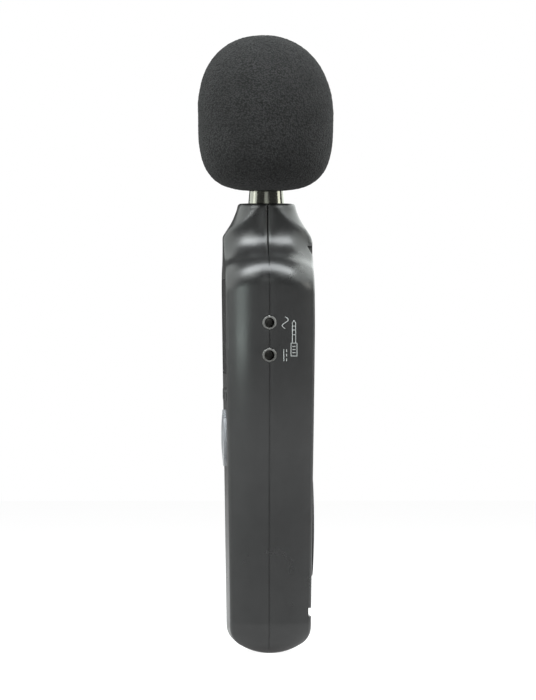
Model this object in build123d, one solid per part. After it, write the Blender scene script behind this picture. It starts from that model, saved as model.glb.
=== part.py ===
from build123d import *
from math import cos, radians, sin, sqrt
import os

# Hand-held sound level meter with a half-inch microphone and a foam windscreen.
# Millimetres. +Z runs up the microphone's axis, the display faces -Y, and the output jacks are on +X.
# The origin is below the microphone's axis, on the level of the housing's lowest point.

# ---- driving dimensions -------------------------------------------------------------------------
HEAD_HALF_WIDTH = 27.5
GRIP_HALF_WIDTH = 23.2
WAIST = (24.4, 60.0)        # half width and height where the grip starts to widen
HEAD_FOOT_Z = 92.0          # where the widening ends
SIDE_BEND_R = 350.0
FOOT_SIDE_R = 12.0          # corner between the foot and a side, seen from the front
SHOULDER_Z = 139.2
SHOULDER_R = 11.0
NECK_ROOT = (12.2, 146.0)   # half width and height where the shoulder turns up into the neck
NECK_ROOT_R = 12.0
NECK_HALF_WIDTH = 10.1
HOUSING_TOP = 161.2
WALL = 2.2
SIDE_CROWN_R = 21.0         # rounding of the side walls, seen from above
SECTION_DEPTHS = (0, 5.5, 11.0, 16.8)
FACE_TOP_Z = 149.3          # where the front and back faces turn into the neck
FACE_FOOT_Z = 6.5           # where they turn into the rounded foot
FRONT_TOP_Y = -15.75
FRONT_FOOT_Y = -13.75
BACK_TOP_Y = 16.4
BACK_MID_Y = 16.7
BACK_MID_Z = 118.0
BACK_FOOT_Y = 15.3
FOOT_CORNER_Z = 5.24
FOOT_DIP = 3.56             # how far the foot's arc is pulled below the origin's level
FOOT_ARC_R = 21.0           # rounding of the foot, seen from the side
FOOT_CORNER_R = 7.0
BACK_BEND_R = 300.0
BACK_SHOULDER_R = 6.0
FRONT_SHOULDER_R = 2.5
NECK_BEND_Z = 154.7         # where the sloping shoulder turns up into the neck, seen from the side
NECK_BEND_R = 20.0
FRONT_EDGE_R = 2.8
BACK_EDGE_R = 3.6
RIM_R = 1.2
NECK_FLARE = [(10.25, 161.2), (10.6, 159.5), (13.1, 154.0), (17.0, 149.8), (24.0, 146.0), (34.0, 143.0)]
SEAM_GROOVE = 0.5

WINDOW_Z = 117.0
WINDOW_SIZE = (37.0, 34.0)
WINDOW_THICK = 1.3
WINDOW_LEDGE = 2.5
LCD_SIZE = (31.0, 29.0)

CLUSTER_Z = 77.0            # centre of the round key cluster
CLUSTER_R = 10.5
CLUSTER_CROWN_R = 90.0
CLUSTER_PROUD = 1.5
CENTRE_KEY_R = 4.5
CENTRE_DISH_R = 12.0
KEY_GAP = 0.3
KEY_TRAVEL = 0.8
KEY_DEPTH = 4.0             # from the front face to the keys' undersides
SMALL_KEY_Z = 92.6
SMALL_KEY_X = 11.0
SMALL_KEY_SIZE = (10.0, 5.0)

MIC_TIP_Z = 204.0
MIC_R = 6.15
MIC_BASE_R = 6.55
MIC_WALL = 0.9
MIC_FOOT_Z = 144.0
GRID_HEIGHT = 9.0
FOAM_FOOT_Z = 166.1
FOAM_MID_Z = 193.5
FOAM_TOP_Z = 221.8
FOAM_R = 24.35
FOAM_BORE_R = 6.3
FOAM_LOW_POWER = 2.95       # 2 makes an ellipse, more makes it fuller
FOAM_HIGH_POWER = 2.2

JACK_Z = {"ac": 118.3, "dc": 106.7}
JACK_FACE_X = 27.5
JACK_BORE_R = 1.8
JACK_SLEEVE_R = 2.6
JACK_DEPTH = 14.0

BOARD_BACK_Y = -3.0
BOARD_THICK = 1.6
BOARD_HALF_WIDTH = 18.8
BOARD_SPAN = (74.5, 138.0)
KEY_BOARD_BACK_Y = -7.8
KEY_BOARD_THICK = 1.2
KEY_BOARD_SPAN = (63.5, 95.5)

BAY_HALF_WIDTH = 13.4
BAY_SPAN = (16.0, 70.4)
BAY_FRONT_Y = -5.8
BAY_WALL = 1.5
COVER_HALF_WIDTH = 14.8
COVER_SPAN = (14.4, 72.0)
COVER_THICK = 2.0
COVER_GAP = 0.25
HOOK_X = 10.0
LATCH_NOTCH_HALF_WIDTH = 18.0
GRIP_FIELD = (27.4, 64.4)
GRIP_HALF_FIELD = 11.0
GRIP_PITCH = 2.4
GRIP_PROUD = 0.85
GRIP_BOW = 0.5
BATTERY_SIZE = (26.4, 17.4, 46.4)
BATTERY_FOOT = (0.0, 3.1, 16.6)
TERMINAL_X = 6.35
TERMINAL_HEIGHT = 2.0
SNAP_HEIGHT = 4.6

TRIPOD_Z = 88.0
TRIPOD_SEAT_Y = 16.0
TRIPOD_THREAD_R = 2.6
TRIPOD_DEPTH = 7.5
TRIMMER_AT = (-12.0, 128.5)
TRIMMER_HOLE_R = 2.3
TRIPOD_NUT_R = 4.4
TRIPOD_FACE_R = 8.0         # spot face round the tripod thread

CASE_SCREWS = [(-8.5, 135.9), (8.5, 135.9), (-14.2, 81.8), (14.2, 81.8)]
BOARD_SCREWS = [(-14.5, 135.8), (14.5, 135.8), (-15.5, 97.9), (15.5, 97.9)]
SCREW_SEAT_Y = 6.0
SCREW_R = 1.2
SCREW_HEAD_R = 2.3
SCREW_HEAD_HEIGHT = 1.8
BOSS_R = 3.0
BOARD_SCREW_R = 0.8
BOARD_POST_R = 2.0

STRAP_NOTCH_X = 1.6
STRAP_NOTCH_TOP = 146.0
STRAP_NOTCH_DEPTH = 2.1

CLEAR = 60.0                # reach of a cutting tool past the housing
STANDING = (Align.CENTER, Align.CENTER, Align.MIN)


# ---- helpers --------------------------------------------------------------------------------------
def save(node, *solids):
    """Write one node as a STEP file; several solids stay separate in it."""
    shape = solids[0] if len(solids) == 1 else Compound(children=list(solids))
    export_step(shape, f"parts/{node}.step")


def outline(corners, plane):
    """Closed face from (across, up, corner radius) triples."""
    with BuildSketch(plane) as sketch:
        with BuildLine():
            FilletPolyline(*[(a, b) for a, b, _ in corners], radius=[r for _, _, r in corners], close=True)
        make_face()
    return sketch.sketch


def box(low, high):
    """Box between two opposite corners."""
    size = [b - a for a, b in zip(low, high)]
    return Pos(*low) * Box(*size, align=(Align.MIN, Align.MIN, Align.MIN))


def rod(radius, start, end):
    """Cylinder from one point to another."""
    axis = Vector(*end) - Vector(*start)
    plane = Plane(origin=start, z_dir=axis)
    return plane * Cylinder(radius, axis.length, align=STANDING)


def soft_box(low, high, radius):
    """Box with its four edges along Y rounded."""
    block = box(low, high)
    return fillet(block.edges().filter_by(Axis.Y), radius)


def wire(points, radius, bend):
    """Round wire along straight runs joined by arcs."""
    path = FilletPolyline(*points, radius=bend)
    start = Plane(origin=path @ 0, z_dir=path % 0)
    return sweep(start * Circle(radius), path=path)


def front_y(z):
    """Depth of the flat front face at a height."""
    return FRONT_FOOT_Y + (FRONT_TOP_Y - FRONT_FOOT_Y) * (z - FACE_FOOT_Z) / (FACE_TOP_Z - FACE_FOOT_Z)


def back_y(z):
    """Depth of the back face of the grip at a height."""
    return BACK_FOOT_Y + (BACK_MID_Y - BACK_FOOT_Y) * (z - FACE_FOOT_Z) / (BACK_MID_Z - FACE_FOOT_Z)


def front_plane(z):
    """Plane on the front face, its normal pointing out of the display side and its own Y up."""
    slope = (FRONT_TOP_Y - FRONT_FOOT_Y) / (FACE_TOP_Z - FACE_FOOT_Z)
    return Plane(origin=(0, front_y(z), z), x_dir=(1, 0, 0), z_dir=(0, -1, slope))


def plan_corners(inset, top):
    """Right-hand corners of the housing seen from the front, as width, height and corner radius."""
    return [
        (GRIP_HALF_WIDTH - inset, inset - 1, FOOT_SIDE_R - inset),
        (WAIST[0] - inset, WAIST[1], SIDE_BEND_R),
        (HEAD_HALF_WIDTH - inset, HEAD_FOOT_Z, SIDE_BEND_R),
        (HEAD_HALF_WIDTH - inset, SHOULDER_Z - inset / 2, SHOULDER_R),
        (NECK_ROOT[0] - inset, NECK_ROOT[1] - inset / 2, NECK_ROOT_R),
        (NECK_HALF_WIDTH - inset, top, 0),
    ]


def front_outline(inset, top, plane):
    """Face inside the housing's outline as seen from the front."""
    right = plan_corners(inset, top)
    left = [(-x, z, r) for x, z, r in reversed(right)]
    return outline(right + left, plane)


def profile_corners(inset):
    """Corners of the housing seen from the side, as depth, height and corner radius."""
    foot_dip = FOOT_DIP - 1.16 * inset
    foot_z = FOOT_CORNER_Z + 0.58 * inset
    shoulder = 0.6 * inset
    return [
        (0.3, -foot_dip, FOOT_ARC_R - 2 * inset),
        (BACK_FOOT_Y - inset, foot_z, FOOT_CORNER_R - inset),
        (BACK_MID_Y - inset, BACK_MID_Z, BACK_BEND_R),
        (BACK_TOP_Y - inset, FACE_TOP_Z - 0.7 - shoulder, BACK_SHOULDER_R),
        (12.3 - inset, NECK_BEND_Z, NECK_BEND_R),
        (NECK_HALF_WIDTH - inset, HOUSING_TOP - inset, 0),
        (inset - NECK_HALF_WIDTH, HOUSING_TOP - inset, 0),
        (inset - 12.2, NECK_BEND_Z, NECK_BEND_R),
        (FRONT_TOP_Y + inset, FACE_TOP_Z - shoulder, FRONT_SHOULDER_R),
        (FRONT_FOOT_Y + inset, foot_z, FOOT_CORNER_R - inset),
    ]


def square_half(side, inset):
    """Half of the housing on one side of the seam (-1 front, +1 back), its neck still square."""
    sections = []
    for depth in SECTION_DEPTHS:
        draw_in = SIDE_CROWN_R - sqrt(SIDE_CROWN_R ** 2 - depth ** 2)
        plane = Plane(origin=(0, side * depth, 0), x_dir=(1, 0, 0), z_dir=(0, -1, 0))
        sections.append(front_outline(inset + draw_in, HOUSING_TOP - inset, plane))
    side_plane = Plane(origin=(-CLEAR, 0, 0), x_dir=(0, 1, 0), z_dir=(1, 0, 0))
    slab = extrude(outline(profile_corners(inset), side_plane), 2 * CLEAR)
    return loft(sections) & slab


def neck_flare(inset):
    """Round flare about the microphone's axis that trims the neck's corners."""
    line = [(radius - inset, z) for radius, z in NECK_FLARE]
    foot_z = line[-1][1]
    top_z = HOUSING_TOP - inset
    with BuildSketch(Plane.XZ) as half_section:
        with BuildLine():
            flare = Spline((line[0][0], top_z), *line[1:])
            Polyline(flare @ 1, (CLEAR, foot_z), (CLEAR, -CLEAR), (0, -CLEAR), (0, top_z), flare @ 0)
        make_face()
    return revolve(half_section.sketch, Axis.Z)


def half_body(side, inset):
    """Half of the housing's bulk, inset from its outer faces."""
    return square_half(side, inset) & neck_flare(inset)


def corner_edges(solid):
    """Edges where the side walls meet the front or back face."""
    found = []
    for edge in solid.edges():
        middle = edge.position_at(0.5)
        run = edge.tangent_at(0.5)
        on_seam = abs(middle.Y) < 0.01
        at_rim = middle.Z > HOUSING_TOP - 0.01
        if not (on_seam or at_rim or abs(run.X) > 0.98 or abs(run.Y) > 0.98):
            found.append(edge)
    return found


def outer_half(side):
    """Half of the housing's outer form with its edges rounded."""
    solid = square_half(side, 0)
    solid = fillet(corner_edges(solid), FRONT_EDGE_R if side < 0 else BACK_EDGE_R)
    solid = solid & neck_flare(0)
    middles = [(edge, edge.position_at(0.5)) for edge in solid.edges()]
    rim = [edge for edge, middle in middles if middle.Z > HOUSING_TOP - 0.01 and abs(middle.Y) > 0.01]
    return fillet(rim, RIM_R)


def seam_loop(inset):
    """Slab on the parting line with the housing's outline seen from the front."""
    plane = Plane(origin=(0, SEAM_GROOVE / 2, 0), x_dir=(1, 0, 0), z_dir=(0, -1, 0))
    return extrude(front_outline(inset, HOUSING_TOP - inset, plane), SEAM_GROOVE)


def seam_groove():
    """Shallow groove along the parting line, all round the housing."""
    return seam_loop(-1) - seam_loop(SEAM_GROOVE)


# ---- housing --------------------------------------------------------------------------------------
def shared_openings():
    """Openings that both halves of the housing share along the seam."""
    neck = Pos(0, 0, MIC_FOOT_Z) * Cylinder(MIC_BASE_R + 0.1, CLEAR, align=STANDING)
    cut = neck + seam_groove()
    for z in JACK_Z.values():
        cut += rod(JACK_SLEEVE_R, (HEAD_HALF_WIDTH - 9, 0, z), (CLEAR, 0, z))
    return cut


def cluster_opening():
    """Round hole in the front face for the key cluster."""
    return front_plane(CLUSTER_Z) * Cylinder(CLUSTER_R, 4 * WALL)


def small_key_opening(x):
    """Rounded slot in the front face for a small key."""
    width, height = SMALL_KEY_SIZE
    shape = RectangleRounded(width, height, height / 2 - 0.1)
    return extrude(front_plane(SMALL_KEY_Z) * Pos(x, 0, -2 * WALL) * shape, 4 * WALL)


def window_recess(margin, depth):
    """Seat of the display window, or the smaller opening behind it."""
    width, height = WINDOW_SIZE
    shape = RectangleRounded(width - 2 * margin, height - 2 * margin, 2.5)
    return extrude(front_plane(WINDOW_Z) * Pos(0, 0, -depth) * shape, depth + WALL)


def front_shell():
    """Display half: screw bosses, board posts, and the openings for the window and the keys."""
    shell = outer_half(-1) - half_body(-1, WALL)
    bulk = half_body(-1, 1)
    for x, z in CASE_SCREWS:
        shell += rod(BOSS_R, (x, 0, z), (x, front_y(z) + 1, z)) & bulk
    for x, z in BOARD_SCREWS:
        shell += rod(BOARD_POST_R, (x, BOARD_BACK_Y - BOARD_THICK, z), (x, front_y(z) + 1, z)) & bulk
    for x, z in CASE_SCREWS:
        shell -= rod(SCREW_R, (x, 1, z), (x, SCREW_SEAT_Y - 15, z))
    for x, z in BOARD_SCREWS:
        shell -= rod(BOARD_SCREW_R, (x, 0, z), (x, BOARD_BACK_Y - 8, z))
    shell -= window_recess(0, WINDOW_THICK + 0.1)
    shell -= window_recess(WINDOW_LEDGE, 3 * WALL)
    shell -= cluster_opening()
    for x in (-SMALL_KEY_X, SMALL_KEY_X):
        shell -= small_key_opening(x)
    return shell - shared_openings()


def cover_opening(gap):
    """Plug the size of the battery cover, grown by a gap all round."""
    half = COVER_HALF_WIDTH + gap
    low, high = COVER_SPAN
    return soft_box((-half, BAY_FRONT_Y, low - gap), (half, CLEAR, high + gap), 2.0)


def latch_notch():
    """Finger notch across the cover's lower edge."""
    low = COVER_SPAN[0]
    half = LATCH_NOTCH_HALF_WIDTH
    return box((-half, back_y(low) - 1.1, low - 1.2), (half, CLEAR, low + 1.8))


def strap_notch(side):
    """Wedge-shaped pocket in the back of the shoulder, open to the side and the back."""
    top = STRAP_NOTCH_TOP
    wedge = [
        (BACK_TOP_Y - STRAP_NOTCH_DEPTH, top, 0),
        (CLEAR, top, 0),
        (CLEAR, top - 5.5, 0),
        (BACK_TOP_Y + 0.1, top - 3.8, 0),
    ]
    start = STRAP_NOTCH_X if side > 0 else -CLEAR
    plane = Plane(origin=(start, 0, 0), x_dir=(0, 1, 0), z_dir=(1, 0, 0))
    return extrude(outline(wedge, plane), CLEAR - STRAP_NOTCH_X)


def bay_block(bulk):
    """Solid block of the battery bay's walls, with the shelf that carries the cover."""
    low, high = BAY_SPAN
    half = BAY_HALF_WIDTH + BAY_WALL
    block = box((-half, 0, low - BAY_WALL), (half, CLEAR, high + BAY_WALL)) & bulk
    block += box((-half, BAY_FRONT_Y - BAY_WALL, low - BAY_WALL), (half, 0.1, high + BAY_WALL))
    shelf_half = COVER_HALF_WIDTH + COVER_GAP + BAY_WALL
    shelf_top = COVER_SPAN[1] + COVER_GAP + BAY_WALL
    shelf = box((-shelf_half, cover_shelf_y() - 2, low - 3.5), (shelf_half, CLEAR, shelf_top))
    return block + (shelf & bulk)


def cover_shelf_y():
    """Depth of the shelf under the battery cover."""
    return back_y(BAY_SPAN[0]) - COVER_THICK - 0.5


def bay_cuts():
    """Room for the battery, the cover, its hooks and latch, and the way through for the leads."""
    low, high = BAY_SPAN
    cut = box((-BAY_HALF_WIDTH, BAY_FRONT_Y, low), (BAY_HALF_WIDTH, CLEAR, high))
    cut += cover_opening(COVER_GAP) & box((-CLEAR, cover_shelf_y(), 0), (CLEAR, CLEAR, 2 * CLEAR))
    cut += latch_notch()
    cut += box((-8, 1.5, high - 1), (8, 6.5, high + BAY_WALL + 1))
    for x in (-HOOK_X, HOOK_X):
        cut += box((x - 3.3, 11.2, high - 3), (x + 3.3, back_y(high) - WALL + 0.4, high + 4.2))
    return cut


def tripod_cuts():
    """Thread, seat of the brass insert and spot face, one inside the other."""
    inner_y = TRIPOD_SEAT_Y - TRIPOD_DEPTH
    cut = rod(TRIPOD_THREAD_R, (0, inner_y - 4, TRIPOD_Z), (0, CLEAR, TRIPOD_Z))
    cut += rod(TRIPOD_NUT_R, (0, inner_y, TRIPOD_Z), (0, CLEAR, TRIPOD_Z))
    return cut + rod(TRIPOD_FACE_R, (0, TRIPOD_SEAT_Y, TRIPOD_Z), (0, CLEAR, TRIPOD_Z))


def rear_shell():
    """Back half: battery bay, screw, tripod and trimmer bosses, and the strap notches."""
    shell = outer_half(1) - half_body(1, WALL)
    bulk = half_body(1, 1)
    trim_x, trim_z = TRIMMER_AT
    shell += bay_block(bulk)
    for x, z in CASE_SCREWS:
        shell += rod(BOSS_R, (x, 0, z), (x, CLEAR, z)) & bulk
    shell += rod(6.0, (0, TRIPOD_SEAT_Y - TRIPOD_DEPTH - 1.5, TRIPOD_Z), (0, CLEAR, TRIPOD_Z)) & bulk
    shell += rod(TRIMMER_HOLE_R + 1, (trim_x, 4.5, trim_z), (trim_x, CLEAR, trim_z)) & bulk
    shell -= rod(TRIMMER_HOLE_R, (trim_x, 4.0, trim_z), (trim_x, CLEAR, trim_z))
    shell -= bay_cuts()
    shell -= tripod_cuts()
    for x, z in CASE_SCREWS:
        shell -= rod(SCREW_R + 0.2, (x, -1, z), (x, CLEAR, z))
        shell -= rod(SCREW_HEAD_R + 0.3, (x, SCREW_SEAT_Y, z), (x, CLEAR, z))
    shell -= strap_notch(1) + strap_notch(-1)
    return shell - shared_openings()


def case_screws():
    """Self-tapping screws from the back, with a cross recess."""
    screws = []
    for x, z in CASE_SCREWS:
        screw = rod(SCREW_R, (x, SCREW_SEAT_Y - 14, z), (x, SCREW_SEAT_Y, z))
        screw += rod(SCREW_HEAD_R, (x, SCREW_SEAT_Y, z), (x, SCREW_SEAT_Y + SCREW_HEAD_HEIGHT, z))
        screws.append(screw - cross_recess(x, SCREW_SEAT_Y + SCREW_HEAD_HEIGHT, z, 1.4))
    return screws


def cross_recess(x, top_y, z, reach):
    """Cross-shaped driver recess."""
    flat = box((x - reach, top_y - 0.9, z - 0.3), (x + reach, top_y + 1, z + 0.3))
    upright = box((x - 0.3, top_y - 0.9, z - reach), (x + 0.3, top_y + 1, z + reach))
    return flat + upright


def tripod_nut():
    """Brass insert with the tripod thread, knurled as a polygon."""
    knurl = Plane(origin=(0, TRIPOD_SEAT_Y - TRIPOD_DEPTH, TRIPOD_Z), z_dir=(0, 1, 0))
    body = extrude(knurl * RegularPolygon(TRIPOD_NUT_R, 12), TRIPOD_DEPTH)
    return body - rod(TRIPOD_THREAD_R, (0, 0, TRIPOD_Z), (0, CLEAR, TRIPOD_Z))


# ---- battery bay ----------------------------------------------------------------------------------
def thumb_field():
    """Raised, slightly bowed field across the cover, grooved for the thumb."""
    low, high = GRIP_FIELD
    middle = (low + high) / 2
    half_span = (high - low) / 2
    bow_r = (half_span ** 2 + GRIP_BOW ** 2) / (2 * GRIP_BOW)
    bow_y = back_y(middle) + GRIP_PROUD - bow_r
    axis = Plane(origin=(-GRIP_HALF_FIELD, bow_y, middle), z_dir=(1, 0, 0))
    bow = axis * Cylinder(bow_r, 2 * GRIP_HALF_FIELD, align=STANDING)
    field = bow & soft_box((-GRIP_HALF_FIELD, back_y(low) - 1, low), (GRIP_HALF_FIELD, CLEAR, high), 4.0)
    for i in range(1, int((high - low) / GRIP_PITCH) + 1):
        z = low + GRIP_PITCH * i
        groove_half = GRIP_HALF_FIELD - 1.5
        field -= box((-groove_half, back_y(z) + 0.15, z - 0.45), (groove_half, CLEAR, z + 0.45))
    return field


def battery_cover():
    """Cover plate that follows the back face, with a thumb field, top hooks and a latch tongue."""
    low, high = COVER_SPAN
    cover = (outer_half(1) - half_body(1, COVER_THICK)) & cover_opening(0)
    cover += thumb_field()
    hook_y = back_y(high) - COVER_THICK
    for x in (-HOOK_X, HOOK_X):
        cover += box((x - 2.5, hook_y - 1.3, high - 3), (x + 2.5, hook_y + 0.3, high + 2.2))
        cover -= box((x - 2.5, hook_y - 0.1, high - 0.01), (x + 2.5, hook_y + 1, high + 3))
    tongue_y = back_y(low) - COVER_THICK
    cover -= latch_notch()
    return cover + box((-4, tongue_y - 1.0, low + 3.2), (4, tongue_y + 0.2, low + 4.6))


def cover_pad():
    """Foam pad that keeps the battery from rattling."""
    battery_back = BATTERY_FOOT[1] + BATTERY_SIZE[1] / 2
    return box((-9, battery_back + 0.4, 30), (9, CLEAR, 52)) & half_body(1, COVER_THICK)


def battery_terminals(length):
    """The battery's two snap terminals, from its top upwards."""
    x, y, z = BATTERY_FOOT
    top = z + BATTERY_SIZE[2]
    male = rod(2.8, (x - TERMINAL_X, y, top), (x - TERMINAL_X, y, top + length))
    return male + rod(3.4, (x + TERMINAL_X, y, top), (x + TERMINAL_X, y, top + length))


def battery():
    """Nine-volt block with its two snap terminals on top."""
    width, depth, height = BATTERY_SIZE
    x, y, z = BATTERY_FOOT
    block = box((x - width / 2, y - depth / 2, z), (x + width / 2, y + depth / 2, z + height))
    return fillet(block.edges().filter_by(Axis.Z), 2.0) + battery_terminals(TERMINAL_HEIGHT)


def battery_snap():
    """Snap connector on the battery's terminals."""
    x, y, z = BATTERY_FOOT
    top = z + BATTERY_SIZE[2]
    block = soft_box((x - 12.5, y - 6, top + 0.2), (x + 12.5, y + 6, top + SNAP_HEIGHT), 1.5)
    return block - battery_terminals(TERMINAL_HEIGHT)


def battery_leads():
    """Red and black leads from the snap connector to the main board."""
    top = BATTERY_FOOT[2] + BATTERY_SIZE[2] + SNAP_HEIGHT
    y = BATTERY_FOOT[1] + 0.9
    return [wire([(x, y, top), (x, y, 80), (x, BOARD_BACK_Y, 80)], 0.6, 3.0) for x in (-4, 4)]


# ---- keys -----------------------------------------------------------------------------------------
def key_crown():
    """Shallow dome that tops the whole key cluster."""
    centre = Pos(0, 0, CLUSTER_PROUD - CLUSTER_CROWN_R)
    return front_plane(CLUSTER_Z) * centre * Sphere(CLUSTER_CROWN_R)


def ring_key(angle):
    """One quarter of the ring of keys, with a flange that holds it under the front face."""
    height = KEY_DEPTH + 3
    gap = KEY_GAP
    ring = Cylinder(CLUSTER_R - gap, height, align=STANDING)
    ring += Cylinder(CLUSTER_R + 1.2, KEY_DEPTH - WALL - gap, align=STANDING)
    ring -= Cylinder(CENTRE_KEY_R + gap, height, align=STANDING)
    corner = Box(CLEAR, CLEAR, height, align=(Align.MIN, Align.MIN, Align.MIN))
    quarter = ring & (Rot(0, 0, angle) * Pos(gap / 2, gap / 2, 0) * corner)
    return (front_plane(CLUSTER_Z) * Pos(0, 0, -KEY_DEPTH) * quarter) & key_crown()


def centre_key():
    """Round power key in the middle of the ring, with a shallow dish for the finger."""
    plane = front_plane(CLUSTER_Z)
    pin = plane * Pos(0, 0, -KEY_DEPTH) * Cylinder(CENTRE_KEY_R, KEY_DEPTH + 3, align=STANDING)
    dish = plane * Pos(0, 0, CLUSTER_PROUD - 0.4 + CENTRE_DISH_R) * Sphere(CENTRE_DISH_R)
    return (pin & key_crown()) - dish


def small_key(x):
    """Low rounded key under the display, with a flange behind the front face."""
    width, height = SMALL_KEY_SIZE
    gap = KEY_GAP
    plane = front_plane(SMALL_KEY_Z)
    cap = RectangleRounded(width - 2 * gap, height - 2 * gap, height / 2 - gap - 0.1)
    flange = RectangleRounded(width + 0.8, height + 0.8, 1.5)
    key = extrude(plane * Pos(x, 0, -KEY_DEPTH) * cap, KEY_DEPTH + 0.3)
    key = fillet(key.faces().sort_by(Axis.Y)[0].edges(), 0.25)
    return key + extrude(plane * Pos(x, 0, -KEY_DEPTH) * flange, KEY_DEPTH - WALL - gap)


def key_centres():
    """Where each key presses the mat, as x and z."""
    reach = 7.6 * sqrt(0.5)
    ring = [(sx * reach, CLUSTER_Z + sz * reach) for sx in (-1, 1) for sz in (-1, 1)]
    return ring + [(0, CLUSTER_Z), (-SMALL_KEY_X, SMALL_KEY_Z), (SMALL_KEY_X, SMALL_KEY_Z)]


def key_mat():
    """Silicone mat with a dome under each key."""
    face_y = KEY_BOARD_BACK_Y - KEY_BOARD_THICK
    low, high = KEY_BOARD_SPAN
    mat = box((-15, face_y - 0.3, low + 1), (15, face_y, high - 1))
    for x, z in key_centres():
        mat += rod(1.5, (x, face_y, z), (x, front_y(z) + KEY_DEPTH + KEY_TRAVEL + 0.1, z))
    for x, z in CASE_SCREWS:
        mat -= rod(BOSS_R + 0.3, (x, -CLEAR, z), (x, 0, z))
    return mat


def key_board():
    """Circuit board under the keys."""
    low, high = KEY_BOARD_SPAN
    board = box((-15.5, KEY_BOARD_BACK_Y - KEY_BOARD_THICK, low), (15.5, KEY_BOARD_BACK_Y, high))
    for x, z in CASE_SCREWS:
        board -= rod(BOSS_R + 0.3, (x, -CLEAR, z), (x, 0, z))
    return board


def board_link():
    """Row of header pins between the two boards."""
    return [box((x - 0.3, KEY_BOARD_BACK_Y, 89.7), (x + 0.3, BOARD_BACK_Y - BOARD_THICK, 90.3))
            for x in [2.54 * i for i in range(-4, 5)]]


# ---- display --------------------------------------------------------------------------------------
def display_window():
    """Clear lens flush in the front face."""
    width, height = WINDOW_SIZE
    shape = RectangleRounded(width - 0.2, height - 0.2, 2.4)
    return extrude(front_plane(WINDOW_Z) * Pos(0, 0, -WINDOW_THICK - 0.1) * shape, WINDOW_THICK)


def lcd_block(front, back, low_trim):
    """Flat block on the display's centre, between two depths."""
    width, height = LCD_SIZE
    low = WINDOW_Z - height / 2 + low_trim
    return box((-width / 2, front, low), (width / 2, back, WINDOW_Z + height / 2))


def lcd_holder():
    """Moulded frame that carries the display on the main board."""
    width, height = LCD_SIZE
    outer = box((-width / 2 - 1.2, -12.3, WINDOW_Z - height / 2 - 1.2),
                (width / 2 + 1.2, BOARD_BACK_Y - BOARD_THICK, WINDOW_Z + height / 2 + 1.2))
    opening = box((-width / 2, -CLEAR, WINDOW_Z - height / 2), (width / 2, 0, WINDOW_Z + height / 2))
    for x in (-width / 2 - 1.3, width / 2 - 0.9):
        opening += box((x, -9, WINDOW_Z - 6), (x + 2.4, 0, WINDOW_Z + 6))
    return outer - opening


def zebra_strip():
    """Elastomer contact strip from the display's ledge to the board."""
    width, height = LCD_SIZE
    low = WINDOW_Z - height / 2 + 0.3
    return box((-width / 2 + 1, -10.4, low), (width / 2 - 1, BOARD_BACK_Y - BOARD_THICK, low + 2.0))


# ---- boards ---------------------------------------------------------------------------------------
def main_board():
    """Main circuit board with its four screw holes."""
    low, high = BOARD_SPAN
    front = BOARD_BACK_Y - BOARD_THICK
    board = soft_box((-BOARD_HALF_WIDTH, front, low), (BOARD_HALF_WIDTH, BOARD_BACK_Y, high), 1.5)
    for x, z in BOARD_SCREWS:
        board -= rod(BOARD_SCREW_R + 0.2, (x, -10, z), (x, 0, z))
    for x, z in CASE_SCREWS:
        board -= rod(BOSS_R + 0.3, (x, -10, z), (x, 0, z))
    return board


def board_screws():
    """Small screws that hold the main board to the front shell's posts."""
    screws = []
    for x, z in BOARD_SCREWS:
        screw = rod(BOARD_SCREW_R, (x, BOARD_BACK_Y - 6, z), (x, BOARD_BACK_Y, z))
        screw += rod(2 * BOARD_SCREW_R, (x, BOARD_BACK_Y, z), (x, BOARD_BACK_Y + 1.2, z))
        screws.append(screw - cross_recess(x, BOARD_BACK_Y + 1.2, z, 1.0))
    return screws


def chip(x, z, width, height, thick):
    """Chip body with its legs, on the back of the main board."""
    y = BOARD_BACK_Y
    body = box((x - width / 2, y + 0.1, z - height / 2), (x + width / 2, y + thick, z + height / 2))
    legs = int(height / 1.4)
    for i in range(legs):
        leg_z = z + 1.27 * (i - (legs - 1) / 2)
        body += box((x - width / 2 - 0.9, y, leg_z - 0.2), (x + width / 2 + 0.9, y + 0.5, leg_z + 0.2))
    return body


def capacitors():
    """Upright electrolytic capacitors."""
    return [rod(radius, (x, BOARD_BACK_Y, z), (x, BOARD_BACK_Y + height, z))
            for x, z, radius, height in ((-9.5, 89.5, 3.0, 7.0), (-9, 98, 2.5, 6.0), (-1, 127, 2.0, 5.0))]


def crystal():
    """Metal-can crystal of the controller's clock."""
    y = BOARD_BACK_Y
    return soft_box((2, y, 96.6), (12, y + 3.4, 100.6), 1.8)


def trimmer():
    """Calibration trimmer with a round seat for its rotor."""
    x, z = TRIMMER_AT
    y = BOARD_BACK_Y
    return box((x - 3.3, y, z - 3.3), (x + 3.3, y + 4.6, z + 3.3)) - rod(2.1, (x, y + 3.0, z), (x, y + 6, z))


def trimmer_rotor():
    """Slotted rotor that the calibration screwdriver turns."""
    x, z = TRIMMER_AT
    y = BOARD_BACK_Y + 3.1
    rotor = rod(2.0, (x, y, z), (x, y + 2.6, z))
    return rotor - box((x - 3, y + 1.7, z - 0.35), (x + 3, y + 4, z + 0.35))


# ---- output jacks ---------------------------------------------------------------------------------
def jack_sleeve(z):
    """Metal sleeve of a 3.5 mm jack, with a small outer bevel."""
    sleeve = rod(JACK_SLEEVE_R, (JACK_FACE_X - JACK_DEPTH, 0, z), (JACK_FACE_X, 0, z))
    sleeve = chamfer(sleeve.faces().sort_by(Axis.X)[-1].edges(), 0.25)
    return sleeve - rod(JACK_BORE_R, (0, 0, z), (CLEAR, 0, z))


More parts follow.
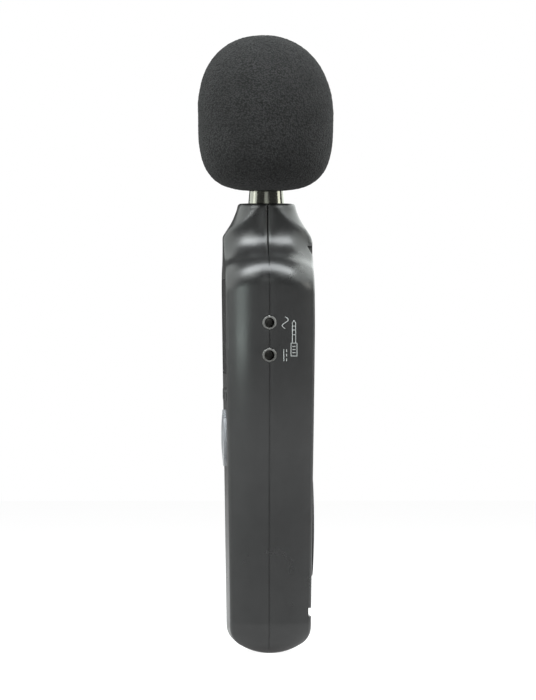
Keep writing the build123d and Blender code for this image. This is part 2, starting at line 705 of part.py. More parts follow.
def jack_housing(z):
    """Moulded body of the jack on the back of the main board."""
    inner = JACK_FACE_X - JACK_DEPTH
    body = box((inner - 3.5, BOARD_BACK_Y, z - 3.2), (inner + 10.5, 3.2, z + 3.2))
    body -= rod(JACK_SLEEVE_R, (inner, 0, z), (CLEAR, 0, z))
    return body - rod(JACK_BORE_R + 0.2, (inner - 2.4, 0, z), (CLEAR, 0, z))


def jack_contact(z):
    """Tip contact at the bottom of the jack's bore, with a bright dimple towards the mouth."""
    inner = JACK_FACE_X - JACK_DEPTH
    blade = rod(1.7, (inner - 2.4, 0, z), (inner - 1.8, 0, z))
    return blade + rod(0.5, (inner - 1.9, 0, z), (inner - 0.9, 0, z))


# ---- microphone -----------------------------------------------------------------------------------
def mic_tube():
    """Metal tube, slightly tapered where it leaves the neck."""
    top = MIC_TIP_Z - GRID_HEIGHT
    with BuildSketch(Plane.XZ) as half_section:
        with BuildLine():
            Polyline((0, MIC_FOOT_Z), (MIC_BASE_R, MIC_FOOT_Z), (MIC_BASE_R, HOUSING_TOP),
                     (MIC_R, FOAM_FOOT_Z), (MIC_R, top), (0, top), (0, MIC_FOOT_Z))
        make_face()
    tube = revolve(half_section.sketch, Axis.Z)
    return tube - Pos(0, 0, MIC_FOOT_Z) * Cylinder(MIC_R - MIC_WALL, 2 * CLEAR, align=STANDING)


def mic_ring(radius, inner, low, high):
    """Ring about the microphone's axis, or a plain disc when it has no inner radius."""
    ring = Pos(0, 0, low) * Cylinder(radius, high - low, align=STANDING)
    if inner:
        ring -= Pos(0, 0, low - 1) * Cylinder(inner, high - low + 2, align=STANDING)
    return ring


def mic_grid():
    """Protection grid: a cap with slots across its top."""
    low = MIC_TIP_Z - GRID_HEIGHT
    cap = mic_ring(MIC_R + 0.05, 0, low, MIC_TIP_Z)
    cap = fillet(cap.faces().sort_by(Axis.Z)[-1].edges(), 0.6)
    cap -= mic_ring(MIC_R - 0.6, 0, low - 1, MIC_TIP_Z - 0.9)
    for i in range(-3, 4):
        x = 1.35 * i
        half_length = sqrt((MIC_R - 1.1) ** 2 - x ** 2)
        cap -= box((x - 0.35, -half_length, MIC_TIP_Z - 2), (x + 0.35, half_length, MIC_TIP_Z + 1))
    return cap


def mic_capsule():
    """Capsule body with its insulator, below the diaphragm."""
    return mic_ring(MIC_R - 0.95, 0, MIC_TIP_Z - 17, MIC_TIP_Z - 3.4)


def mic_diaphragm():
    """Thin metal diaphragm with its clamping ring."""
    ring = mic_ring(MIC_R - 0.95, MIC_R - 1.9, MIC_TIP_Z - 3.4, MIC_TIP_Z - 2.6)
    return ring + mic_ring(MIC_R - 1.5, 0, MIC_TIP_Z - 3.4, MIC_TIP_Z - 3.2)


def mic_grommet():
    """Rubber ring that seats the microphone in the neck."""
    return mic_ring(MIC_BASE_R + 1.2, MIC_BASE_R, 151.5, 156.5)


def preamp_board():
    """Narrow amplifier board inside the microphone's tube."""
    board = box((-4.4, -0.5, MIC_FOOT_Z + 1), (4.4, 0.5, MIC_TIP_Z - 18))
    for z in (152, 160, 170, 178):
        board += box((-2, 0.5, z), (2, 1.9, z + 4))
    return board


def mic_leads():
    """Three leads from the amplifier board down to the main board."""
    top = MIC_FOOT_Z + 1
    return [wire([(x, 0, top), (x, 0, 133.5), (x, BOARD_BACK_Y, 133.5)], 0.45, 2.2) for x in (-3, 0, 3)]


def foam_wing(height, power, start, end, steps):
    """Points on the foam's outer line, above or below its widest level, between two angles."""
    points = []
    for i in range(steps + 1):
        turn = radians(start + (end - start) * i / steps)
        rise = height * abs(sin(turn)) ** (2 / power)
        points.append((FOAM_R * abs(cos(turn)) ** (2 / power), FOAM_MID_Z + rise))
    return points


def windscreen():
    """Foam ball: a rounder top half and a fuller lower half, with a bore for the microphone."""
    lower = foam_wing(FOAM_FOOT_Z - FOAM_MID_Z, FOAM_LOW_POWER, -76, -8, 8)
    upper = foam_wing(FOAM_TOP_Z - FOAM_MID_Z, FOAM_HIGH_POWER, 0, 82, 9)
    with BuildSketch(Plane.XZ) as half_section:
        with BuildLine():
            rise = Spline(*lower, *upper, (0, FOAM_TOP_Z), tangents=[(0.8, 0.6), (-1, 0)])
            Polyline(rise @ 1, (0, FOAM_FOOT_Z), (lower[0][0], FOAM_FOOT_Z), rise @ 0)
        make_face()
    ball = revolve(half_section.sketch, Axis.Z)
    bore = mic_ring(FOAM_BORE_R, 0, FOAM_FOOT_Z - 1, MIC_TIP_Z + 0.4)
    return ball - bore


# ---- all nodes ------------------------------------------------------------------------------------
os.makedirs("parts", exist_ok=True)

save("front_shell", front_shell())
save("rear_shell", rear_shell())
save("case_screws", *case_screws())
save("tripod_nut", tripod_nut())
save("battery_cover", battery_cover())
save("battery_cover_pad", cover_pad())
save("battery_9v", battery())
save("battery_snap", battery_snap())
save("battery_leads", *battery_leads())

ring_names = {"level_up_key": 45, "max_hold_key": 135, "level_down_key": 225, "response_key": 315}
for name, angle in ring_names.items():
    save(name, ring_key(angle))
save("power_key", centre_key())
save("hold_key", small_key(-SMALL_KEY_X))
save("backlight_key", small_key(SMALL_KEY_X))
save("key_mat", key_mat())
save("key_board", key_board())
save("board_link_pins", *board_link())

save("display_window", display_window())
save("lcd_glass", lcd_block(-12.2, -10.4, 0))
save("lcd_backlight", lcd_block(-10.3, -8.0, 3.0))
save("lcd_holder", lcd_holder())
save("zebra_strip", zebra_strip())

save("main_board", main_board())
save("board_screws", *board_screws())
save("controller_chip", chip(-3, 110, 12, 14, 1.8))
save("amplifier_chips", chip(4, 122, 4, 5, 1.5), chip(-9, 121.5, 4, 5, 1.5))
save("capacitors", *capacitors())
save("clock_crystal", crystal())
save("calibration_trimmer", trimmer())
save("trimmer_rotor", trimmer_rotor())

for signal, height in JACK_Z.items():
    save(f"{signal}_jack_sleeve", jack_sleeve(height))
    save(f"{signal}_jack_housing", jack_housing(height))
    save(f"{signal}_jack_contact", jack_contact(height))

save("microphone_tube", mic_tube())
save("microphone_grid", mic_grid())
save("microphone_capsule", mic_capsule())
save("microphone_diaphragm", mic_diaphragm())
save("microphone_grommet", mic_grommet())
save("preamp_board", preamp_board())
save("microphone_leads", *mic_leads())
save("windscreen_foam", windscreen())
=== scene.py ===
"""Sound level meter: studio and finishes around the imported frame. Metres, or millimetres where named _MM."""
import math

import bpy
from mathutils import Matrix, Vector, noise
from mathutils.bvhtree import BVHTree


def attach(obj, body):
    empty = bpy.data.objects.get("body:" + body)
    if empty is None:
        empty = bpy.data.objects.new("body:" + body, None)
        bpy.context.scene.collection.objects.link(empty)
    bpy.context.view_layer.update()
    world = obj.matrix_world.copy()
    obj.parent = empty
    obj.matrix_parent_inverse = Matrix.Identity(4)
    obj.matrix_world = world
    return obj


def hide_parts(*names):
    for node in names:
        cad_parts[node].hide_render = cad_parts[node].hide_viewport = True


MM = 0.001

# ---- camera ----
CAMERA_AZIMUTH = 87.7
CAMERA_DISTANCE = 3.0
CAMERA_TARGET = (0, 0.00054, 0.10854)
VIEW_HEIGHT = 0.252
SENSOR_MM = 24

# ---- foam windscreen ----
FOAM_FOOT = 0.1658
FOAM_MID = 0.1935
FOAM_TOP = 0.2218
FOAM_RADIUS = 0.02435
FOAM_BORE = 0.0063
FOAM_BORE_TOP = 0.2044
FOAM_LOW_POWER = 3.3
FOAM_HIGH_POWER = 2.2
FOAM_LEAN = math.tan(math.radians(2.2))
FOAM_SHIFT = 0.3 * MM
FOAM_FADE = 3 * MM
FOAM_CELL = 0.95 * MM
FOAM_NIB = 0.55 * MM
FOAM_SWELL = 7 * MM
FOAM_COLUMNS = 384
FOAM_ROWS = 220

# ---- display ----
WINDOW_CENTRE_Z = 0.117
WINDOW_CLEAR_HALF = (0.0158, 0.0142)
ACRYLIC_IOR = 1.49

# ---- neck ----
NECK_BLEND = 2.5 * MM
NECK_BLEND_Z = (0.140, 0.144)   # levels over which the blend comes in

# ---- surroundings ----
FLOOR_REACH = 3.0
FLOOR_PAPER = (0.22, 0.22, 0.22)
FLOOR_GLOW = (0.58, 0.95)       # towards the meter and towards the camera
AIR_GLOW = (0.07, 1.0)

# ---- tints of the lights ----
COOL = (0.95, 1.0, 0.975)
SKY = (0.94, 0.98, 1.0)
GREENISH = (0.86, 1.0, 0.95)
WARM = (1.0, 1.0, 0.95)
WARMER = (1.0, 1.0, 0.93)

# ---- printed marks on the rear shell's wall ----
INK_LIFT = 0.02 * MM
INK_DEPTH = 0.05 * MM
INK_STEP = 0.25 * MM
INK_WIDTH_MM = 0.22
JACK_SIGN_Y = 0.0056
PLUG_SIGN_Y = 0.0088
AC_JACK_Z = 0.1183
DC_JACK_Z = 0.1067
PLUG_SIGN_Z = 0.1128
OUTSIDE_X = 0.05                # beyond the wall

# ---- places of a Mix node's A, B and result, whose names repeat ----
MIX_SOCKETS = {"VECTOR": (4, 5, 1), "RGBA": (6, 7, 2)}

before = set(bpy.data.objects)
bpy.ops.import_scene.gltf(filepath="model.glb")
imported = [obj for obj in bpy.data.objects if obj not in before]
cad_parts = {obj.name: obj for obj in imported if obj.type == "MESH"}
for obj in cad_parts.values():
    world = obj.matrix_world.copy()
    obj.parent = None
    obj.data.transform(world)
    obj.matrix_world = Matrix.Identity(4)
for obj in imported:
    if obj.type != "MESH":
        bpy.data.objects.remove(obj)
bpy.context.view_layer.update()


# ---- node helpers -----------------------------------------------------------------------------------
def shader_of(name):
    """New material and its tree, with an empty Principled shader."""
    material = bpy.data.materials.new(name)
    material.use_nodes = True
    return material, material.node_tree, material.node_tree.nodes["Principled BSDF"]


def put(tree, kind, **values):
    """New node; keyword names with underscores stand for the sockets' names."""
    node = tree.nodes.new(kind)
    for key, value in values.items():
        node.inputs[key.replace("_", " ")].default_value = value
    return node


def coordinates(tree, stretch=(1, 1, 1)):
    """Object coordinates in metres, stretched along the axes."""
    place = tree.nodes.new("ShaderNodeTexCoord")
    mapping = put(tree, "ShaderNodeMapping", Scale=stretch)
    tree.links.new(place.outputs["Object"], mapping.inputs["Vector"])
    return mapping.outputs["Vector"]


def noise_value(tree, size, detail=2.0, stretch=(1, 1, 1)):
    """Noise whose blotches are about one size across."""
    texture = put(tree, "ShaderNodeTexNoise", Scale=1 / size, Detail=detail)
    tree.links.new(coordinates(tree, stretch), texture.inputs["Vector"])
    return texture.outputs["Fac"]


def spread(tree, value, low, high, start=0.35, end=0.65):
    """Value mapped from a middle band to a new range."""
    node = put(tree, "ShaderNodeMapRange", From_Min=start, From_Max=end, To_Min=low, To_Max=high)
    tree.links.new(value, node.inputs["Value"])
    return node.outputs["Result"]


def feed(tree, socket, value):
    """Gives a socket another node's output, or a value of its own."""
    if isinstance(value, bpy.types.NodeSocket):
        tree.links.new(value, socket)
    else:
        socket.default_value = value


def mixed(tree, kind, share, first, second):
    """Blend of two vectors or two colours, each a node's output or a value."""
    node = tree.nodes.new("ShaderNodeMix")
    node.data_type = kind
    at_first, at_second, at_result = MIX_SOCKETS[kind]
    tree.links.new(share, node.inputs[0])
    feed(tree, node.inputs[at_first], first)
    feed(tree, node.inputs[at_second], second)
    return node.outputs[at_result]


def two_tone(tree, value, first, second):
    """Colour between two tones."""
    return mixed(tree, "RGBA", value, (*first, 1), (*second, 1))


def object_axes(tree):
    """Object coordinates in metres, one output for each axis."""
    place = tree.nodes.new("ShaderNodeTexCoord")
    split = tree.nodes.new("ShaderNodeSeparateXYZ")
    tree.links.new(place.outputs["Object"], split.inputs[0])
    return split.outputs


def bump(tree, value, distance, strength=1.0, after=None):
    """Relief from a value, on top of another relief."""
    node = put(tree, "ShaderNodeBump", Strength=strength, Distance=distance)
    tree.links.new(value, node.inputs["Height"])
    if after is not None:
        tree.links.new(after, node.inputs["Normal"])
    return node.outputs["Normal"]


def grained(name, tones, roughness, patch, grain, depth, stretch=(1, 1, 1), **sockets):
    """Finish with patches of tone and roughness and a fine grain in relief."""
    material, tree, shader = shader_of(name)
    patches = noise_value(tree, patch, 4.0)
    fine = noise_value(tree, grain, 3.0, stretch)
    tree.links.new(two_tone(tree, spread(tree, patches, 0, 1), *tones), shader.inputs["Base Color"])
    tree.links.new(spread(tree, patches, *roughness), shader.inputs["Roughness"])
    tree.links.new(bump(tree, fine, depth), shader.inputs["Normal"])
    for key, value in sockets.items():
        shader.inputs[key.replace("_", " ")].default_value = value
    return material


# ---- finishes ---------------------------------------------------------------------------------------
def housing_finish():
    """Satin black ABS with a spark-eroded grain, handled a little."""
    material, tree, shader = shader_of("satin_black_abs")
    handling = noise_value(tree, 22 * MM, 5.0)
    cloud = noise_value(tree, 6 * MM, 3.0)
    grain = noise_value(tree, 0.32 * MM, 2.0)
    tone = two_tone(tree, spread(tree, cloud, 0, 1), (0.0135, 0.0135, 0.0135), (0.0165, 0.0165, 0.0165))
    tree.links.new(tone, shader.inputs["Base Color"])
    tree.links.new(spread(tree, handling, 0.27, 0.33), shader.inputs["Roughness"])
    coarse = bump(tree, cloud, 0.02 * MM, 0.35, neck_rounding(tree))
    tree.links.new(bump(tree, grain, 0.03 * MM, 0.35, coarse), shader.inputs["Normal"])
    shader.inputs["Specular IOR Level"].default_value = 0.7
    return material


def neck_rounding(tree):
    """Normal that blends the faces of the neck into one another, and is the plain normal lower down."""
    soft = put(tree, "ShaderNodeBevel", Radius=NECK_BLEND)
    soft.samples = 8
    plain = tree.nodes.new("ShaderNodeNewGeometry")
    share = spread(tree, object_axes(tree)["Z"], 0, 1, *NECK_BLEND_Z)
    return mixed(tree, "VECTOR", share, plain.outputs["Normal"], soft.outputs["Normal"])


def foam_finish():
    """Open-cell foam: dark cell walls round pores darkened with painted shade, with a soft fuzz of light."""
    material, tree, shader = shader_of("open_cell_foam")
    cells = put(tree, "ShaderNodeTexVoronoi", Scale=1 / (0.62 * MM))
    tree.links.new(coordinates(tree), cells.inputs["Vector"])
    pore_shade = spread(tree, cells.outputs["Distance"], 0, 1, 0.15, 0.75)
    wear = noise_value(tree, 9 * MM, 4.0)
    lit = two_tone(tree, spread(tree, wear, 0, 1), (0.028, 0.028, 0.028), (0.037, 0.037, 0.037))
    # The pores are painted darker than the cell walls: painted shade in the holes of the foam.
    tone = mixed(tree, "RGBA", pore_shade, lit, (0.012, 0.012, 0.012, 1))
    tree.links.new(tone, shader.inputs["Base Color"])
    fuzz = noise_value(tree, 0.3 * MM, 4.0)
    rough = bump(tree, fuzz, 0.12 * MM, 0.8)
    tree.links.new(bump(tree, cells.outputs["Distance"], 0.25 * MM, 0.8, rough), shader.inputs["Normal"])
    shader.inputs["Roughness"].default_value = 1.0
    shader.inputs["Specular IOR Level"].default_value = 0.15
    shader.inputs["Sheen Weight"].default_value = 0.03
    shader.inputs["Sheen Roughness"].default_value = 0.6
    return material


def math_node(tree, operation, first, second=0.0):
    """Result of a sum on two values, each a node's output or a number."""
    node = tree.nodes.new("ShaderNodeMath")
    node.operation = operation
    feed(tree, node.inputs[0], first)
    feed(tree, node.inputs[1], second)
    return node.outputs[0]


def outside_window(tree):
    """1 outside the display's viewing area, 0 inside it."""
    axes = object_axes(tree)
    half_width, half_height = WINDOW_CLEAR_HALF
    beside = math_node(tree, "ABSOLUTE", axes["X"])
    above = math_node(tree, "ABSOLUTE", math_node(tree, "SUBTRACT", axes["Z"], WINDOW_CENTRE_Z))
    past_side = math_node(tree, "GREATER_THAN", beside, half_width)
    past_end = math_node(tree, "GREATER_THAN", above, half_height)
    return math_node(tree, "MAXIMUM", past_side, past_end)


def window_finish():
    """Clear lens with a black border printed round the viewing area."""
    material, tree, shader = shader_of("printed_lens")
    border = outside_window(tree)
    tone = two_tone(tree, border, (0.9, 0.93, 0.92), (0.01, 0.01, 0.01))
    smear = noise_value(tree, 12 * MM, 4.0)
    tree.links.new(tone, shader.inputs["Base Color"])
    tree.links.new(spread(tree, border, 1, 0, 0, 1), shader.inputs["Transmission Weight"])
    tree.links.new(spread(tree, smear, 0.03, 0.09), shader.inputs["Roughness"])
    shader.inputs["IOR"].default_value = ACRYLIC_IOR
    return material


def metal(name, tones, roughness, stretch, depth=0.004 * MM):
    """Turned or rolled metal with tool marks."""
    return grained(name, tones, roughness, 5 * MM, 0.25 * MM, depth, stretch, Metallic=1.0)


def ink_finish():
    """Light grey printing ink."""
    return grained("light_grey_ink", ((0.40, 0.42, 0.41), (0.50, 0.52, 0.51)), (0.5, 0.6),
                   3 * MM, 0.2 * MM, 0.005 * MM)


def apply_finishes():
    """Gives every CAD node its procedural material."""
    abs_black = housing_finish()
    black = grained("black_nylon", ((0.012, 0.012, 0.013), (0.02, 0.02, 0.021)), (0.45, 0.6),
                    4 * MM, 0.3 * MM, 0.02 * MM)
    steel = metal("zinc_plated_steel", ((0.55, 0.55, 0.53), (0.66, 0.66, 0.63)), (0.28, 0.42), (1, 1, 1))
    brass = metal("brass", ((0.56, 0.40, 0.16), (0.68, 0.50, 0.22)), (0.25, 0.4), (1, 6, 1))
    nickel = metal("nickel_plate", ((0.22, 0.22, 0.21), (0.30, 0.30, 0.29)), (0.30, 0.42), (6, 1, 1))
    # The jack contacts are painted darker than tinned metal: painted shade at the bottom of the jack bores.
    contact = metal("tinned_contact_painted_shade", ((0.16, 0.16, 0.15), (0.24, 0.24, 0.23)), (0.30, 0.42), (1, 1, 1))
    tube = metal("turned_steel", ((0.25, 0.25, 0.22), (0.29, 0.29, 0.25)), (0.14, 0.20), (0.2, 0.2, 4),
                 0.003 * MM)
    aluminium = metal("aluminium", ((0.60, 0.60, 0.60), (0.72, 0.72, 0.72)), (0.3, 0.42), (1, 1, 1))
    rubber = grained("silicone_rubber", ((0.10, 0.10, 0.105), (0.14, 0.14, 0.145)), (0.6, 0.75),
                     5 * MM, 0.4 * MM, 0.02 * MM)
    board = grained("green_laminate", ((0.012, 0.075, 0.028), (0.02, 0.11, 0.04)), (0.3, 0.45),
                    3 * MM, 0.5 * MM, 0.02 * MM, Coat_Weight=0.4)
    lcd = grained("lcd_glass", ((0.30, 0.33, 0.28), (0.34, 0.37, 0.31)), (0.12, 0.18),
                  8 * MM, 0.4 * MM, 0.002 * MM, Coat_Weight=0.3)
    white = grained("white_plastic", ((0.66, 0.67, 0.66), (0.74, 0.74, 0.72)), (0.4, 0.55),
                    6 * MM, 0.4 * MM, 0.015 * MM)
    blue = grained("blue_plastic", ((0.03, 0.10, 0.32), (0.045, 0.14, 0.40)), (0.4, 0.5),
                   3 * MM, 0.3 * MM, 0.015 * MM)
    keys = grained("grey_key_plastic", ((0.30, 0.31, 0.33), (0.35, 0.36, 0.38)), (0.25, 0.34),
                   7 * MM, 0.35 * MM, 0.01 * MM, Coat_Weight=0.35, Coat_Roughness=0.15)
    black_keys = grained("black_key_plastic", ((0.013, 0.013, 0.013), (0.018, 0.018, 0.018)), (0.3, 0.4),
                         7 * MM, 0.35 * MM, 0.01 * MM)
    jacket = grained("battery_jacket", ((0.05, 0.055, 0.06), (0.09, 0.095, 0.10)), (0.25, 0.35),
                     9 * MM, 0.5 * MM, 0.01 * MM, Metallic=0.6)
    lead = grained("lead_insulation", ((0.35, 0.03, 0.025), (0.45, 0.05, 0.035)), (0.4, 0.5),
                   3 * MM, 0.3 * MM, 0.02 * MM)
    finishes = {
        abs_black: ["front_shell", "rear_shell", "battery_cover"],
        black: ["battery_snap", "controller_chip", "amplifier_chips", "lcd_holder",
                "ac_jack_housing", "dc_jack_housing"],
        steel: ["case_screws", "board_screws", "clock_crystal"],
        brass: ["tripod_nut", "board_link_pins", "microphone_capsule"],
        nickel: ["ac_jack_sleeve", "dc_jack_sleeve"],
        contact: ["ac_jack_contact", "dc_jack_contact"],
        tube: ["microphone_tube", "microphone_grid", "microphone_diaphragm"],
        aluminium: ["capacitors"],
        rubber: ["key_mat", "microphone_grommet", "battery_cover_pad", "zebra_strip"],
        board: ["main_board", "key_board", "preamp_board"],
        lcd: ["lcd_glass"],
        white: ["lcd_backlight", "trimmer_rotor"],
        blue: ["calibration_trimmer"],
        keys: ["power_key", "level_up_key", "level_down_key", "max_hold_key", "response_key"],
        black_keys: ["hold_key", "backlight_key"],
        jacket: ["battery_9v"],
        lead: ["battery_leads", "microphone_leads"],
        window_finish(): ["display_window"],
    }
    for material, names in finishes.items():
        for name in names:
            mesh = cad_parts[name].data
            mesh.materials.clear()
            mesh.materials.append(material)


# ---- foam windscreen --------------------------------------------------------------------------------
def foam_profile(turn):
    """Radius and height on the foam's outer line, at an angle from its widest level."""
    power = FOAM_HIGH_POWER if turn >= 0 else FOAM_LOW_POWER
    height = FOAM_TOP - FOAM_MID if turn >= 0 else FOAM_MID - FOAM_FOOT
    radius = FOAM_RADIUS * abs(math.cos(turn)) ** (2 / power)
    rise = math.copysign(height * abs(math.sin(turn)) ** (2 / power), turn)
    return radius, FOAM_MID + rise


def foam_line():
    """Points down the foam's outside, evenly spaced, from below its top to the bore's mouth."""
    fine = [foam_profile(math.radians(90 - 180 * i / 2000)) for i in range(2001)]
    fine = [p for p in fine if p[0] > FOAM_BORE + 0.6 * MM or p[1] > FOAM_MID]
    lengths = [0.0]
    for a, b in zip(fine, fine[1:]):
        lengths.append(lengths[-1] + math.dist(a, b))
    line = []
    at = 0
    for i in range(1, FOAM_ROWS + 1):
        target = lengths[-1] * i / FOAM_ROWS
        while lengths[at + 1] < target - 1e-12:
            at += 1
        share = (target - lengths[at]) / (lengths[at + 1] - lengths[at])
        line.append(tuple(a + (b - a) * share for a, b in zip(fine[at], fine[at + 1])))
    return line


def foam_surface(point):
    """Small heights and pits of cut open-cell foam at a place."""
    cell = noise.noise(point / FOAM_CELL)
    nib = noise.noise(point / FOAM_NIB + Vector((7, 3, 1)))
    swell = noise.noise(point / FOAM_SWELL)
    return (0.10 * cell + 0.09 * nib + 0.13 * swell) * MM


def ring_points(radius, z):
    """Points round the foam's axis, with their level."""
    turns = [2 * math.pi * column / FOAM_COLUMNS for column in range(FOAM_COLUMNS)]
    return [Vector((radius * math.cos(turn), radius * math.sin(turn), z)) for turn in turns]


def skin_ring(radius, z):
    """Ring on the foam's outside with its rough skin, shifted and leaning a little towards -Y."""
    fade = 1 if z > FOAM_MID else min(1, max(0, (radius - FOAM_BORE) / FOAM_FADE))
    drift = (FOAM_SHIFT + FOAM_LEAN * max(0, z - FOAM_MID)) * fade
    ring = []
    for base in ring_points(radius, z):
        outward = Vector((base.x, base.y, (z - FOAM_MID) * 0.8)).normalized()
        point = base + outward * foam_surface(base)
        point.y -= drift
        ring.append(point)
    return ring


def tube_faces(rings, first, last):
    """Faces between stacked rings of points, closed by a point before them and a point after them."""
    def index(row, column):
        return first + 1 + row * FOAM_COLUMNS + column % FOAM_COLUMNS

    columns = range(FOAM_COLUMNS)
    faces = [(first, index(0, c), index(0, c + 1)) for c in columns]
    for row in range(rings - 1):
        for c in columns:
            faces.append((index(row, c), index(row + 1, c), index(row + 1, c + 1), index(row, c + 1)))
    return faces + [(index(rings - 1, c + 1), index(rings - 1, c), last) for c in columns]


def build_foam(material):
    """Foam ball with a rough open-cell skin, a rounded bore mouth and a smooth closed bore."""
    outer = foam_line()
    bore = [(FOAM_BORE + 0.2 * MM, FOAM_FOOT + 0.12 * MM), (FOAM_BORE, FOAM_FOOT + 0.5 * MM)]
    bore += [(FOAM_BORE, FOAM_FOOT + (FOAM_BORE_TOP - FOAM_FOOT) * i / 12) for i in range(1, 13)]
    vertices = [Vector((0, -FOAM_SHIFT - FOAM_LEAN * (FOAM_TOP - FOAM_MID), FOAM_TOP))]
    for radius, z in outer:
        vertices += skin_ring(radius, z)
    for radius, z in bore:
        vertices += ring_points(radius, z)
    vertices.append(Vector((0, 0, FOAM_BORE_TOP)))
    faces = tube_faces(len(outer) + len(bore), 0, len(vertices) - 1)
    foam = new_piece("foam_ball", vertices, faces, material)
    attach(foam, "windscreen")
    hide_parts("windscreen_foam")


def new_piece(name, vertices, faces, material, smooth=True):
    """Mesh object with one material."""
    mesh = bpy.data.meshes.new(name)
    mesh.from_pydata(vertices, [], faces)
    mesh.validate()
    mesh.update()
    if smooth:
        mesh.polygons.foreach_set("use_smooth", [True] * len(mesh.polygons))
    mesh.materials.append(material)
    piece = bpy.data.objects.new(name, mesh)
    bpy.context.scene.collection.objects.link(piece)
    return piece


# ---- printed marks ----------------------------------------------------------------------------------
def surface_of(name):
    """Search tree over one CAD node's surface."""
    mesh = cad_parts[name].data
    vertices = [vertex.co.copy() for vertex in mesh.vertices]
    polygons = [list(polygon.vertices) for polygon in mesh.polygons]
    return BVHTree.FromPolygons(vertices, polygons)


def resampled(points):
    """Same line with points no further apart than the ink's step."""
    line = [Vector(points[0])]
    for a, b in zip(points, points[1:]):
        a, b = Vector(a), Vector(b)
        steps = max(1, math.ceil((b - a).length * MM / INK_STEP))
        line += [a.lerp(b, i / steps) for i in range(1, steps + 1)]
    return line


def stroke_mesh(points, land):
    """Thin strip of ink along a flat line in millimetres; land() puts a flat point on the surface."""
    line = resampled(points)
    vertices = []
    for i, p in enumerate(line):
        run = (line[min(i + 1, len(line) - 1)] - line[max(i - 1, 0)]).normalized()
        side = Vector((-run.y, run.x)) * INK_WIDTH_MM / 2
        for flat in (p - side, p + side):
            top, normal = land(flat)
            vertices += [top + normal * INK_LIFT, top - normal * INK_DEPTH]
    faces = []
    for i in range(len(line) - 1):
        a = 4 * i
        b = a + 4
        faces += [(a, a + 2, b + 2, b), (a + 1, b + 1, b + 3, a + 3),
                  (a, b, b + 1, a + 1), (a + 2, a + 3, b + 3, b + 2)]
    end = 4 * (len(line) - 1)
    faces += [(0, 1, 3, 2), (end, end + 2, end + 3, end + 1)]
    return vertices, faces


def wall_print(name, strokes, y, z, ink):
    """Printed sign: strokes in millimetres round a place on the wall, their first axis up the meter."""
    wall = surface_of("rear_shell")

    def land(flat):
        start = Vector((OUTSIDE_X, y - flat.y * MM, z + flat.x * MM))
        hit, normal, _, _ = wall.ray_cast(start, Vector((-1, 0, 0)))
        return hit, normal if normal.x > 0 else -normal

    vertices = []
    faces = []
    for points in strokes:
        more, sides = stroke_mesh(points, land)
        faces += [[len(vertices) + i for i in side] for side in sides]
        vertices += more
    piece = new_piece(name, vertices, faces, ink, smooth=False)
    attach(piece, "housing")


def wave(length, height, steps=32):
    """One period of a sine along X, centred."""
    shares = [i / steps for i in range(steps + 1)]
    return [(length * (share - 0.5), height * math.sin(2 * math.pi * share)) for share in shares]


def bars():
    """Steady bar over a dashed one."""
    dashes = [[(x, -0.5), (x + 1.0, -0.5)] for x in (-2.1, -0.5, 1.1)]
    return [[(-2.1, 0.5), (2.1, 0.5)]] + dashes


def plug():
    """Jack plug: its grip with three ribs, its sleeve with two rings and its tip."""
    grip = [(-6.4, -1.1), (-1.8, -1.1), (-1.8, 1.1), (-6.4, 1.1), (-6.4, -1.1)]
    sleeve = [(-1.8, 0.6), (4.3, 0.6), (4.3, -0.6), (-1.8, -0.6)]
    tip = [(4.3, 0.5), (5.2, 0.7), (6.4, 0), (5.2, -0.7), (4.3, -0.5)]
    rings = [[(x, -0.55), (x, 0.55)] for x in (-5.2, -4.1, -3.0, 1.2, 2.9)]
    return [grip, sleeve, tip] + rings


def wall_marks(ink):
    """Signs beside the jacks, turned a quarter: a wave, steady and dashed bars, and a plug."""
    wall_print("ac_sign", [wave(4.2, 1.1)], JACK_SIGN_Y, AC_JACK_Z, ink)
    wall_print("dc_sign", bars(), JACK_SIGN_Y, DC_JACK_Z, ink)
    wall_print("output_sign", plug(), PLUG_SIGN_Y, PLUG_SIGN_Z, ink)


# ---- studio -----------------------------------------------------------------------------------------
def towards_azimuth(azimuth, distance, z):
    """Point at an azimuth round the object: 0 is -Y and 90 is +X."""
    turn = math.radians(azimuth)
    return Vector((distance * math.sin(turn), -distance * math.cos(turn), z))


def panel(name, azimuth, distance, z, width, height, radiance, tint, aim_z=0.11):
    """Soft rectangular light at an azimuth, distance and height, aimed at a level on the meter's axis."""
    light = bpy.data.lights.new(name, "AREA")
    light.shape = "RECTANGLE"
    light.size = width
    light.size_y = height
    light.energy = radiance * math.pi * width * height
    light.color = tint
    lamp = bpy.data.objects.new(name, light)
    lamp.location = towards_azimuth(azimuth, distance, z)
    aim = Vector((0, 0, aim_z)) - lamp.location
    lamp.rotation_euler = aim.to_track_quat("-Z", "Y").to_euler()
    lamp.visible_camera = False
    bpy.context.scene.collection.objects.link(lamp)


def studio_lights():
    """Panels before, behind and above the meter, one by the camera, and small ones close to it."""
    # azimuth, distance, level, width, height, radiance, tint
    panel("front_panel", -16, 1.2, 0.765, 1.74, 1.2, 1.8, COOL, aim_z=0.765)
    panel("back_panel", 180, 1.2, 1.0, 1.41, 0.9, 2.1, COOL, aim_z=0.6)
    panel("rim_panel", 237, 1.2, 0.765, 1.41, 1.2, 2.2, COOL, aim_z=0.765)
    panel("overhead", 88, 0.35, 1.0, 2.0, 0.45, 8.3, SKY)
    panel("high_front", 40, 0.7, 0.8, 0.5, 0.5, 3.6, COOL)
    panel("high_back", 135, 0.7, 0.8, 0.5, 0.5, 1.4, COOL)
    panel("camera_fill", 88, 2.5, 0.9, 1.2, 0.8, 0.9, COOL)
    panel("small_window", 39, 0.25, 0.125, 0.085, 0.012, 19.0, GREENISH, aim_z=0.125)
    panel("tube_strip_front", 0, 0.3, 0.195, 0.05, 0.03, 3.0, WARM, aim_z=0.17)
    panel("tube_strip_back", 176, 0.3, 0.195, 0.11, 0.03, 4.5, WARMER, aim_z=0.17)


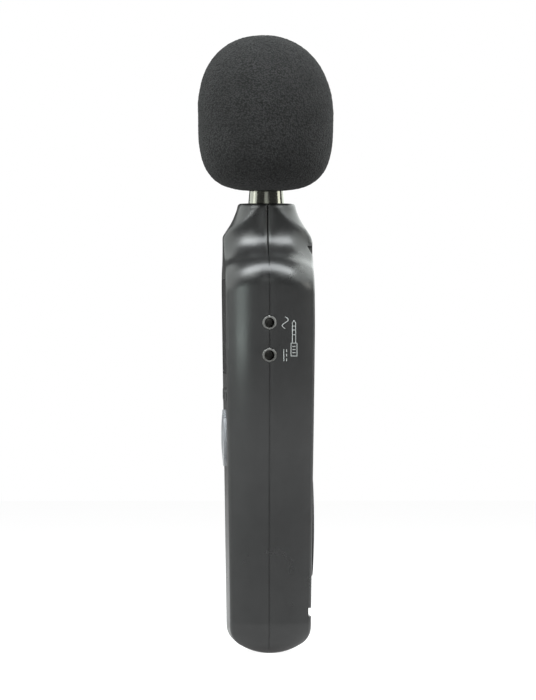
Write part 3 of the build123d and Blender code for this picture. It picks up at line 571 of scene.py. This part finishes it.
def white_room():
    """White surroundings for the camera and dim ones for the light."""
    world = bpy.data.worlds.new("studio_air")
    world.use_nodes = True
    tree = world.node_tree
    tree.nodes.clear()
    path = tree.nodes.new("ShaderNodeLightPath")
    air = put(tree, "ShaderNodeBackground", Color=(1, 1, 1, 1))
    out = tree.nodes.new("ShaderNodeOutputWorld")
    strength = spread(tree, path.outputs["Is Camera Ray"], *AIR_GLOW, 0, 1)
    tree.links.new(strength, air.inputs["Strength"])
    tree.links.new(air.outputs[0], out.inputs[0])
    bpy.context.scene.world = world


def pale_floor():
    """White sweep: pale paper with a glow of its own, which is stronger towards the camera."""
    corners = [(FLOOR_REACH * x, FLOOR_REACH * y, 0) for x, y in ((-1, -1), (1, -1), (1, 1), (-1, 1))]
    material = bpy.data.materials.new("pale_floor")
    material.use_nodes = True
    tree = material.node_tree
    tree.nodes.clear()
    path = tree.nodes.new("ShaderNodeLightPath")
    paper = put(tree, "ShaderNodeBsdfDiffuse", Color=(*FLOOR_PAPER, 1))
    glow = put(tree, "ShaderNodeEmission", Color=(1, 1, 1, 1))
    both = tree.nodes.new("ShaderNodeAddShader")
    out = tree.nodes.new("ShaderNodeOutputMaterial")
    strength = spread(tree, path.outputs["Is Camera Ray"], *FLOOR_GLOW, 0, 1)
    tree.links.new(strength, glow.inputs["Strength"])
    tree.links.new(paper.outputs[0], both.inputs[0])
    tree.links.new(glow.outputs[0], both.inputs[1])
    tree.links.new(both.outputs[0], out.inputs[0])
    new_piece("floor", corners, [(0, 1, 2, 3)], material, smooth=False)


def camera():
    """Level camera that looks at the jack side, slightly from the display side."""
    lens = bpy.data.cameras.new("camera")
    lens.sensor_fit = "VERTICAL"
    lens.sensor_height = SENSOR_MM
    lens.lens = SENSOR_MM * CAMERA_DISTANCE / VIEW_HEIGHT
    eye = bpy.data.objects.new("camera", lens)
    target = Vector(CAMERA_TARGET)
    eye.location = target + towards_azimuth(CAMERA_AZIMUTH, CAMERA_DISTANCE, 0)
    eye.rotation_euler = (target - eye.location).to_track_quat("-Z", "Y").to_euler()
    bpy.context.scene.collection.objects.link(eye)
    bpy.context.scene.camera = eye


# ---- build ------------------------------------------------------------------------------------------
apply_finishes()
build_foam(foam_finish())
wall_marks(ink_finish())
studio_lights()
white_room()
pale_floor()
camera()
bpy.context.scene.view_settings.view_transform = "Standard"
